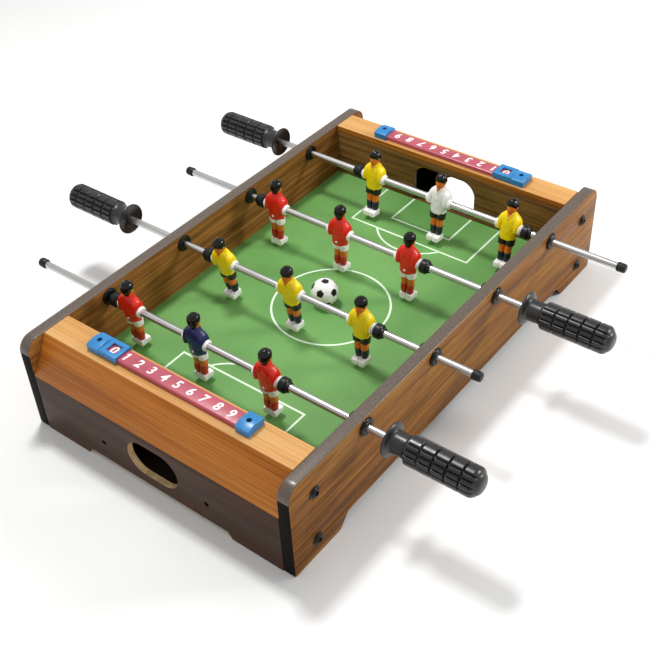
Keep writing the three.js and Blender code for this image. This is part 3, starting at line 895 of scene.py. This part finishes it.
handle = handle_mesh()
cap = cap_mesh()
bumper = bumper_mesh()
for n in RODS:
    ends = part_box(f"rod_{n}")
    grip_low, grip_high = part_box(f"handle_{n}")
    side = 1 if grip_high.x > ends[1].x else -1
    slide = (grip_high.x if side > 0 else -grip_low.x) / MM - side * TABLE_X / MM - HANDLE["tip"]
    centre = (side * slide, rod_y(n), ROD_Z)
    own = place(*centre, 0 if side > 0 else 180)
    start, end = sorted((own.inverted() @ corner).x / MM for corner in ends)
    profile = filleted([(start, 0), (start, ROD_R, 0.6), (end, ROD_R, 0.6), (end, 0)])
    tube = as_mesh(f"rod_tube_{n}", turned(profile, 40), [CHROME])
    turning = f"rod_set_{n}"
    piece(f"tube_{n}", tube, turning, [f"rod_{n}"], own)
    piece(f"grip_{n}", handle, turning, [f"handle_{n}"], own)
    piece(f"cap_{n}", cap, turning, [f"end_cap_{n}"], own @ turn_z(180))
    for name, degrees in SIDES.items():
        piece(f"{name}_bumper_{n}", bumper, f"bumpers_{n}",
              [f"bumper_{n}_{name}"], place(*centre, degrees))


# ---- figures ----
# All of a figure is in its own frame: origin on the rod's axis, facing +Y, X along the rod.
SKIN_AT, HAIR_AT, JERSEY_AT, SHORTS_AT, SOCKS_AT, WHITE_AT = range(6)
HEAD = [(12.0, 3.6, 3.6, 0, 0.2), (15.6, 3.5, 3.7, 0, 0.9), (17.2, 4.1, 4.8, 0, 1.8),
        (19.8, 4.7, 5.5, 0, 1.7), (23.0, 5.0, 5.7, 0, 1.4), (27.0, 4.6, 5.2, 0, 1.2),
        (29.8, 2.6, 3.0, 0, 1.0), (30.4, 0.4, 0.5, 0, 1.0)]
TORSO = [(-13.6, 7.6, 5.4), (-13.2, 8.4, 6.1), (-11.6, 8.6, 6.3), (-6.0, 8.9, 6.6), (0.0, 9.7, 6.9),
         (5.0, 10.6, 6.9), (9.5, 10.7, 6.5), (13.2, 8.8, 5.5), (15.8, 5.4, 4.5), (16.6, 3.8, 3.6)]
LEG_SQUEEZE = 0.88       # the legs and shoes stand closer together than their own width


def both_sides(rows, **shape):
    """Two lofted bodies, left then right, from the rows of the right one."""
    return [loft([(z, hx, hy, s * cx, *cy) for z, hx, hy, cx, *cy in rows], **shape)
            for s in (-1, 1)]


def row_at(rows, z):
    """A body's (half x, half y, centre x, centre y) at a height, straight between its rows."""
    rows = full(rows)
    for a, b in zip(rows, rows[1:]):
        if a[0] <= z <= b[0]:
            f = (z - a[0]) / (b[0] - a[0])
            return [p + (q - p) * f for p, q in zip(a[1:], b[1:])]
    return rows[0][1:] if z < rows[0][0] else rows[-1][1:]


def head():
    skull = loft(HEAD, power=2.1)
    nose = loft([(19.0, 0.5, 0.4, 0, 7.1), (19.6, 0.95, 0.95, 0, 7.3), (21.0, 0.75, 0.8, 0, 7.1),
                 (22.6, 0.4, 0.4, 0, 6.7)], around=12, power=2)
    ears = both_sides([(19.9, 0.3, 0.5, 4.8, 1.6), (20.8, 0.7, 1.1, 5.1, 1.5),
                       (22.6, 0.7, 1.3, 5.3, 1.4), (23.6, 0.3, 0.6, 5.1, 1.4)], around=12, power=2)
    return painted(joined(skull, nose, *ears), SKIN_AT)


def hair():
    """A cap of hair, high over the brow and drawn to a point at the nape, with combed strands."""
    bm = bmesh.new()
    around, rises = 72, 12
    top = 31.3
    rings = []
    for k in range(-1, rises):
        ring = []
        for i in range(around):
            a = 2 * math.pi * i / around
            front = 0.5 + 0.5 * math.sin(a)
            edge = 15.4 + 5.6 * smooth_step(0.0, 0.42, front) + 2.4 * smooth_step(0.5, 1.0, front)
            t = max(k, 0) / rises
            z = edge + (top - edge) * (1 - (1 - t) ** 1.5)
            hx, hy, _, cy = row_at(HEAD, min(z, HEAD[-1][0]))
            strands = 0.1 * math.sin(18 * a + 1.4 * math.sin(z * 0.5))
            grow = -1.2 if k < 0 else 0.25 + 0.9 * smooth_step(0, 0.25, t) + strands
            ring.append(bm.verts.new((
                (hx + grow) * math.cos(a), cy + (hy + grow) * math.sin(a), z)))
        rings.append(ring)
    skin(bm, rings)
    fan(bm, rings[-1], bm.verts.new((0, 1.0, top)))
    fan(bm, rings[0], bm.verts.new((0, 1.2, 22.0)))
    return painted(outward(bm), HAIR_AT)


def torso_front(x, z, lift):
    hx, hy, _, _ = row_at(TORSO, z)
    inside = max(0.0, 1 - (abs(x) / hx) ** 2.4)
    return hy * inside ** (1 / 2.4) + lift


def neck_patch():
    """The bare V under the throat."""
    bm = bmesh.new()
    top, low, half = 16.4, 9.6, 2.7
    rows, wide = 8, 8
    grids, rims = [], []
    for lift in (0.28, -1.0):
        grid = []
        for r in range(rows + 1):
            z = low + (top - low) * r / rows
            reach = 0.15 + half * (r / rows)
            xs = [reach * (2 * c / wide - 1) for c in range(wide + 1)]
            grid.append([bm.verts.new((x, torso_front(x, z, lift), z)) for x in xs])
        skin(bm, grid, closed=False)
        left, right = ([row[i] for row in grid] for i in (0, -1))
        rims.append(left + grid[-1][1:] + right[-2::-1] + grid[0][-2:0:-1])
    skin(bm, rims)
    return painted(outward(bm), SKIN_AT)


def tube_along(points, radius, around=10):
    """A round bar through points with narrowed ends."""
    bm = bmesh.new()
    rings = []
    for i, here in enumerate(points):
        before, after = points[max(i - 1, 0)], points[min(i + 1, len(points) - 1)]
        ahead = (Vector(after) - Vector(before)).normalized()
        side = ahead.cross(Vector((0, 1, 0))).normalized()
        up = side.cross(ahead)
        size = radius * (0.55 if i in (0, len(points) - 1) else 1)
        angles = [2 * math.pi * k / around for k in range(around)]
        rings.append([bm.verts.new(Vector(here) + (side * math.cos(a) + up * math.sin(a)) * size)
                      for a in angles])
    skin(bm, rings)
    for ring in (rings[0], rings[-1]):
        bm.faces.new(ring)
    return outward(bm)


def jersey():
    def creases(a, z):
        return (0.018 * math.sin(3 * a + 0.9 * z) * smooth_step(9, 2, z)
                + 0.012 * math.sin(7 * a - 0.6 * z))

    shirt = loft(TORSO, around=40, relief=creases)
    sleeves = both_sides([
        (-3.4, 2.0, 5.4, 9.2), (-3.0, 3.0, 6.6, 9.2), (0.5, 3.5, 7.0, 9.2), (5.0, 3.9, 6.6, 8.8),
        (9.0, 3.9, 5.7, 8.0), (12.6, 2.9, 4.2, 6.6), (14.2, 0.8, 1.4, 5.6)], power=2.2)
    collar = []
    for s in (-1, 1):
        points = []
        for k in range(9):
            z = 9.2 + 7.0 * k / 8
            x = s * (0.1 + 3.0 * k / 8)
            points.append((x, torso_front(x, z, 0.3), z))
        collar.append(tube_along(points, 0.55))
    return painted(joined(shirt, *sleeves, *collar), JERSEY_AT)


def boss():
    """The white clamp that the rod passes through, and the screw boss at the small of the back."""
    rings = []
    for spin in (0, 180):
        ring = turned(filleted([
            (10.4, ROD_R + 0.1), (10.4, 5.4), (13.4, 5.8, 0.6), (13.4, 4.8), (14.8, 4.6, 0.3),
            (14.8, ROD_R + 0.1)]), 40)
        rings.append(moved(ring, turn=turn_z(spin)))
    stud = turned(filleted([(0, 0), (0, 1.3), (7.3, 1.2, 0.5), (7.3, 0.6), (6.9, 0.5), (6.9, 0)]), 20)
    return painted(joined(*rings, moved(stud, turn=turn_z(-90), z=-8.6)), WHITE_AT)


def legs():
    shorts = both_sides([
        (-19.6, 3.9, 4.2, 4.2, 0.2), (-19.2, 4.5, 4.9, 4.2, 0.2), (-17.5, 4.5, 5.0, 4.2, 0.1),
        (-14.0, 4.6, 5.4, 4.2), (-12.0, 4.4, 5.3, 4.0), (-11.0, 3.0, 4.0, 4.0)], around=24)
    thighs = both_sides([
        (-29.4, 3.0, 3.2, 3.9, 0.2), (-28.6, 3.6, 3.8, 3.9, 0.3), (-26.0, 3.8, 4.0, 3.9, 0.4),
        (-22.0, 3.9, 4.3, 4.0, 0.2), (-16.5, 4.0, 4.3, 4.1, 0.1)], around=22)
    socks = both_sides([
        (-39.6, 3.1, 3.0, 3.9, -0.4), (-37.0, 3.4, 3.5, 3.9, -0.4), (-33.0, 3.8, 4.2, 3.9, -0.6),
        (-29.8, 3.8, 4.0, 3.9, -0.2), (-29.0, 4.0, 4.2, 3.9), (-28.0, 4.0, 4.2, 3.9, 0.1),
        (-27.6, 3.2, 3.4, 3.9, 0.1)], around=22)
    shoes = []
    for s in (-1, 1):
        shoe = loft([
            (-4.6, 3.4, 2.9, 0, -41.8), (-4.3, 4.0, 3.4, 0, -41.8), (-1.5, 4.15, 3.5, 0, -41.7),
            (1.5, 4.2, 3.5, 0, -41.7), (4.5, 4.2, 3.2, 0, -42.0), (7.0, 4.0, 2.9, 0, -42.3),
            (7.5, 3.4, 2.4, 0, -42.4)], around=32, power=5)
        # lofted along the shoe's length, then laid so that its rows run forward
        shoe.transform(Matrix(((1, 0, 0), (0, 0, 1), (0, 1, 0))).to_4x4())
        bmesh.ops.reverse_faces(shoe, faces=shoe.faces)
        shoes.append(moved(shoe, x=s * 4.18))
    for limb in thighs + socks + shoes:
        limb.transform(Matrix.Diagonal((LEG_SQUEEZE, 1, 1, 1)))
    return [painted(joined(*limbs), index) for limbs, index in (
        (shorts, SHORTS_AT), (thighs, SKIN_AT), (socks, SOCKS_AT), (shoes, WHITE_AT))]


def figure_mesh(name, jersey_material, shorts_material, socks_material):
    parts = [head(), hair(), neck_patch(), jersey(), boss(), *legs()]
    materials = [SKIN, HAIR, jersey_material, shorts_material, socks_material, FIGURE_WHITE]
    return as_mesh(name, joined(*parts), materials, angle=50)


KITS = {
    "red": figure_mesh("red_figure", RED_JERSEY, FIGURE_WHITE, RED_SOCK),
    "yellow": figure_mesh("yellow_figure", YELLOW_JERSEY, FIGURE_BLACK, FIGURE_NAVY),
    "blue": figure_mesh("blue_figure", NAVY_JERSEY, FIGURE_WHITE, RED_SOCK),
    "white": figure_mesh("white_figure", FIGURE_WHITE, FIGURE_BLACK, FIGURE_NAVY),
}
# per rod: its figures' turn, then each one's kit and how far its feet swing forward, in degrees
LINE_UPS = {
    1: (0, [("red", 4), ("blue", 2), ("red", 3)]),
    2: (180, [("yellow", -9), ("yellow", -5), ("yellow", 2)]),
    3: (0, [("red", -2), ("red", -1), ("red", -2)]),
    4: (180, [("yellow", 8), ("white", 9), ("yellow", 12)]),
}
for n, (degrees, team) in LINE_UPS.items():
    for spot, (kit, lean) in zip(("left", "middle", "right"), team):
        node = f"keeper_{n}" if kit in ("blue", "white") else f"player_{n}_{spot}"
        low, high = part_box(node)
        leaning = KITS[kit].copy()
        leaning.transform(Matrix.Rotation(math.radians(lean), 4, "X"))
        centre = Matrix.Translation(((low.x + high.x) / 2, rod_y(n) * MM, ROD_Z * MM))
        piece(f"figure_{n}_{spot}", leaning, f"rod_set_{n}", [node],
              centre @ turn_z(degrees))


# ---- ball ----
SPOT_SHARE = 1.05
SEAM_DEPTH = 0.012
SEAM_WIDTH = 0.07
BALL_TURN = (27, 0, -58)


def ball_panels():
    """Centres of the 12 five-sided and 20 six-sided panels of a football."""
    golden = (1 + 5 ** 0.5) / 2
    fives = []
    for a in (-1, 1):
        for b in (-golden, golden):
            fives += [Vector(v).normalized() for v in ((0, a, b), (a, b, 0), (b, 0, a))]
    near = 0.4
    sixes = [(a + b + c).normalized() for a, b, c in combinations(fives, 3)
             if min(a.dot(b), b.dot(c), a.dot(c)) > near]
    return fives, sixes


def corner_of(five, six_a, six_b):
    """The direction where a spot and two white panels meet."""
    planes = Matrix((five / SPOT_SHARE, six_a, six_b))
    return (planes.inverted() @ Vector((1, 1, 1))).normalized()


def ball_mesh(radius, steps=7):
    fives, sixes = ball_panels()
    bm = bmesh.new()

    def panel(centre, corners, index):
        side = corners[0].cross(centre).normalized()
        up = centre.cross(side)
        corners.sort(key=lambda c: math.atan2(c.dot(up), c.dot(side)))
        for a, b in zip(corners, corners[1:] + corners[:1]):
            grid = {}
            for i in range(steps + 1):
                for j in range(steps + 1 - i):
                    wa, wb = i / steps, j / steps
                    wc = 1 - wa - wb
                    direction = (a * wa + b * wb + centre * wc).normalized()
                    seam = 1 - SEAM_DEPTH * math.exp(-(wc / SEAM_WIDTH) ** 2)
                    grid[i, j] = bm.verts.new(direction * radius * seam)
            for i, j in grid:
                faces = [[(i, j), (i + 1, j), (i, j + 1)], [(i + 1, j), (i + 1, j + 1), (i, j + 1)]]
                for face in faces:
                    if all(corner in grid for corner in face):
                        bm.faces.new([grid[corner] for corner in face]).material_index = index

    meets = {}
    for f, five in enumerate(fives):
        around = sorted(range(20), key=lambda s: -sixes[s].dot(five))[:5]
        for pair in combinations(around, 2):
            six_a, six_b = (sixes[s] for s in pair)
            if six_a.dot(six_b) > 0.7:
                meets[f, pair] = corner_of(five, six_a, six_b)
    for f, five in enumerate(fives):
        panel(five, [c for (k, _), c in meets.items() if k == f], 1)
    for s, six in enumerate(sixes):
        panel(six, [c for (_, pair), c in meets.items() if s in pair], 0)
    bmesh.ops.remove_doubles(bm, verts=bm.verts, dist=1e-3)
    return as_mesh("football", outward(bm), [BALL_WHITE, BALL_BLACK], angle=60)


ball_radius = (ball_high.x - ball_low.x) / 2 / MM
ball_turn = Euler([math.radians(a) for a in BALL_TURN]).to_matrix().to_4x4()
piece("football", ball_mesh(ball_radius), "ball_body", ["ball"],
      Matrix.Translation((ball_low + ball_high) / 2) @ ball_turn)

# ---- score counters ----
COUNTER = {"y": 217, "half": 94, "block": 15, "block_width": 20, "side": 6.2, "crown": 8.4}
STRIP_SIZE = {"width": 16, "thick": 4.7}
SLIDER = {"length": 21, "width": 19.6, "top": 7.3, "window": (11, 10), "home": 68.3, "travel": 136.4}
SKIRT_LOW, SKIRT_OVERLAP = 0.8, 0.6
DIGIT_HEIGHT = 9.5
DIGIT_SLANT = 0.15
DIGIT_THICK = 0.16
DIGIT_STRETCH = 4        # how much taller a raised digit is made than its text


def strip_mesh():
    """The scale between the blocks, with a shallow ledge along each side."""
    half = COUNTER["half"] - COUNTER["block"] + 2
    w = STRIP_SIZE["width"] / 2
    t = STRIP_SIZE["thick"]
    section = [(-w, 0), (w, 0), (w, t - 0.7), (w - 0.9, t - 0.1), (w - 1.3, t), (1.3 - w, t),
               (0.9 - w, t - 0.1), (-w, t - 0.7)]
    bm = moved(prism(section, thick=2 * half, edge=0.3), turn=ALONG_X)
    return as_mesh("score_strip", bm, [STRIP], angle=30)


def block_mesh():
    """A crowned end block with a counterbored screw hole."""
    w, side, crown = COUNTER["block_width"] / 2, COUNTER["side"], COUNTER["crown"]
    section = [(-w, 0), (w, 0)]
    for k in range(13):
        y = w * (1 - k / 6)
        section.append((y, side + (crown - side) * (1 - (y / w) ** 2)))
    bm = moved(prism(section, thick=COUNTER["block"], edge=0.8), turn=ALONG_X)
    bm = cut_by(bm, [punch(circle(0, 0, 2.5, 28), 8, z=crown)], [BLUE])
    return as_mesh("score_block", bm, [BLUE], angle=30)


def slider_mesh():
    """The sliding window: a flat frame over the strip, with a skirt down each of its sides."""
    l, w = SLIDER["length"] / 2, SLIDER["width"] / 2
    wl, ww = (size / 2 for size in SLIDER["window"])
    low, top = STRIP_SIZE["thick"] + GAP, SLIDER["top"]
    plate = prism(rectangle(-l, l, -w, w), [rectangle(-wl, wl, -ww, ww)], top - low, edge=0.7)
    parts = [moved(plate, z=(top + low) / 2)]
    skirt_top = low + SKIRT_OVERLAP
    for degrees in (180, 0):
        skirt = prism(rectangle(-l, l, STRIP_SIZE["width"] / 2 + GAP, w),
                      thick=skirt_top - SKIRT_LOW, edge=0.35)
        parts.append(moved(skirt, turn=turn_z(degrees), z=(skirt_top + SKIRT_LOW) / 2))
    return as_mesh("score_slider", joined(*parts), [BLUE], angle=30)


def one_mesh():
    """The figure 1 with its flag, drawn as bold as the other digits."""
    top = DIGIT_HEIGHT / 2
    outline = [(-0.8, -top), (1.0, -top), (1.0, top), (-0.5, top), (-2.5, top - 1.6),
               (-1.7, top - 2.9), (-0.8, top - 2.2)]
    slanted = [(x + DIGIT_SLANT * y, y) for x, y in outline]
    return as_mesh("digit_1", prism(slanted, thick=DIGIT_THICK, edge=0.03, steps=1), [WHITE_PRINT],
                   angle=30)


def digit_mesh(digit):
    """One slanted, printed digit standing a hair over the strip."""
    if digit == "1":
        return one_mesh()
    text = bpy.data.curves.new("digit", "FONT")
    text.body = digit
    text.size = 1
    text.align_x = "CENTER"
    text.align_y = "CENTER"
    text.shear = DIGIT_SLANT
    text.offset = 0.022
    text.extrude = DIGIT_THICK / 2 / DIGIT_STRETCH
    holder = linked("digit", text)
    bm = finished(holder)
    bpy.data.objects.remove(holder)
    bpy.data.curves.remove(text)
    bmesh.ops.remove_doubles(bm, verts=bm.verts, dist=1e-5)
    xs, ys = ([v.co[axis] for v in bm.verts] for axis in (0, 1))
    scale = DIGIT_HEIGHT / (max(ys) - min(ys))
    centre = Vector(((max(xs) + min(xs)) / 2, (max(ys) + min(ys)) / 2, 0))
    bm.transform(Matrix.Diagonal((scale, scale, DIGIT_STRETCH, 1)) @ Matrix.Translation(-centre))
    return as_mesh(f"digit_{digit}", bm, [WHITE_PRINT], angle=30)


strip = strip_mesh()
block = block_mesh()
slider = slider_mesh()
digits = [digit_mesh(str(d)) for d in range(10)]
block_screw = screw_head_mesh("block_screw", 2.2, 0.6)
pitch = SLIDER["travel"] / 9
upright = Matrix.Rotation(math.radians(-90), 4, "Y")
for end, degrees in (("near", 0), ("far", 180)):
    unit = place(degrees=degrees) @ shifted(0, -COUNTER["y"], PANEL_TOP)
    piece(f"{end}_strip", strip, "table", [f"{end}_score_bar"], unit)
    for number, sign in enumerate((-1, 1), 1):
        x = sign * (COUNTER["half"] - COUNTER["block"] / 2)
        piece(f"{end}_block_{number}", block, "table", matrix=unit @ shifted(x))
        piece(f"{end}_block_screw_{number}", block_screw, "table",
              matrix=unit @ shifted(x, 0, COUNTER["crown"] - 3.2) @ upright)
    for d, digit in enumerate(digits):
        seat = shifted(pitch * d - SLIDER["home"], 0, STRIP_SIZE["thick"] + 0.04)
        piece(f"{end}_digit_{d}", digit, "table", matrix=unit @ seat)
    piece(f"{end}_slider_frame", slider, f"{end}_slider",
          [f"{end}_score_slider"], unit @ shifted(-SLIDER["home"]))

# ---- floor and light ----
FLOOR = 20.0
paper = Shader("floor_paper", roughness=0.9, specular=0.1)
shade = paper.ramp(paper.noise(3), [(0.3, (0.9, 0.9, 0.89)), (0.7, (0.93, 0.93, 0.92))])
paper.put(paper.main.inputs["Base Color"], shade)
floor_mesh = bpy.data.meshes.new("floor")
corners = [(x, y, 0) for x, y in rectangle(-FLOOR, FLOOR, -FLOOR, FLOOR)]
floor_mesh.from_pydata(corners, [], [(0, 1, 2, 3)])
floor_mesh.materials.append(paper.material)
linked("floor", floor_mesh)

world = bpy.data.worlds.new("studio")
bpy.context.scene.world = world
world.use_nodes = True
background = world.node_tree.nodes["Background"]
background.inputs["Color"].default_value = (1.0, 1.0, 1.0, 1)
background.inputs["Strength"].default_value = 0.62

for name, at, size, watts in (("key", (-0.33, 0.08, 1.3), (0.22, 0.16), 10.5),
                              ("side", (1.15, 0.9, 0.85), (0.35, 0.35), 11)):
    lamp = bpy.data.lights.new(name, "AREA")
    lamp.shape = "RECTANGLE"
    lamp.size, lamp.size_y = size
    lamp.energy = watts
    holder = linked(name, lamp)
    holder.location = at
    aim = Vector((TABLE_X, 0, 0.05)) - Vector(at)
    holder.rotation_euler = aim.to_track_quat("-Z", "Y").to_euler()
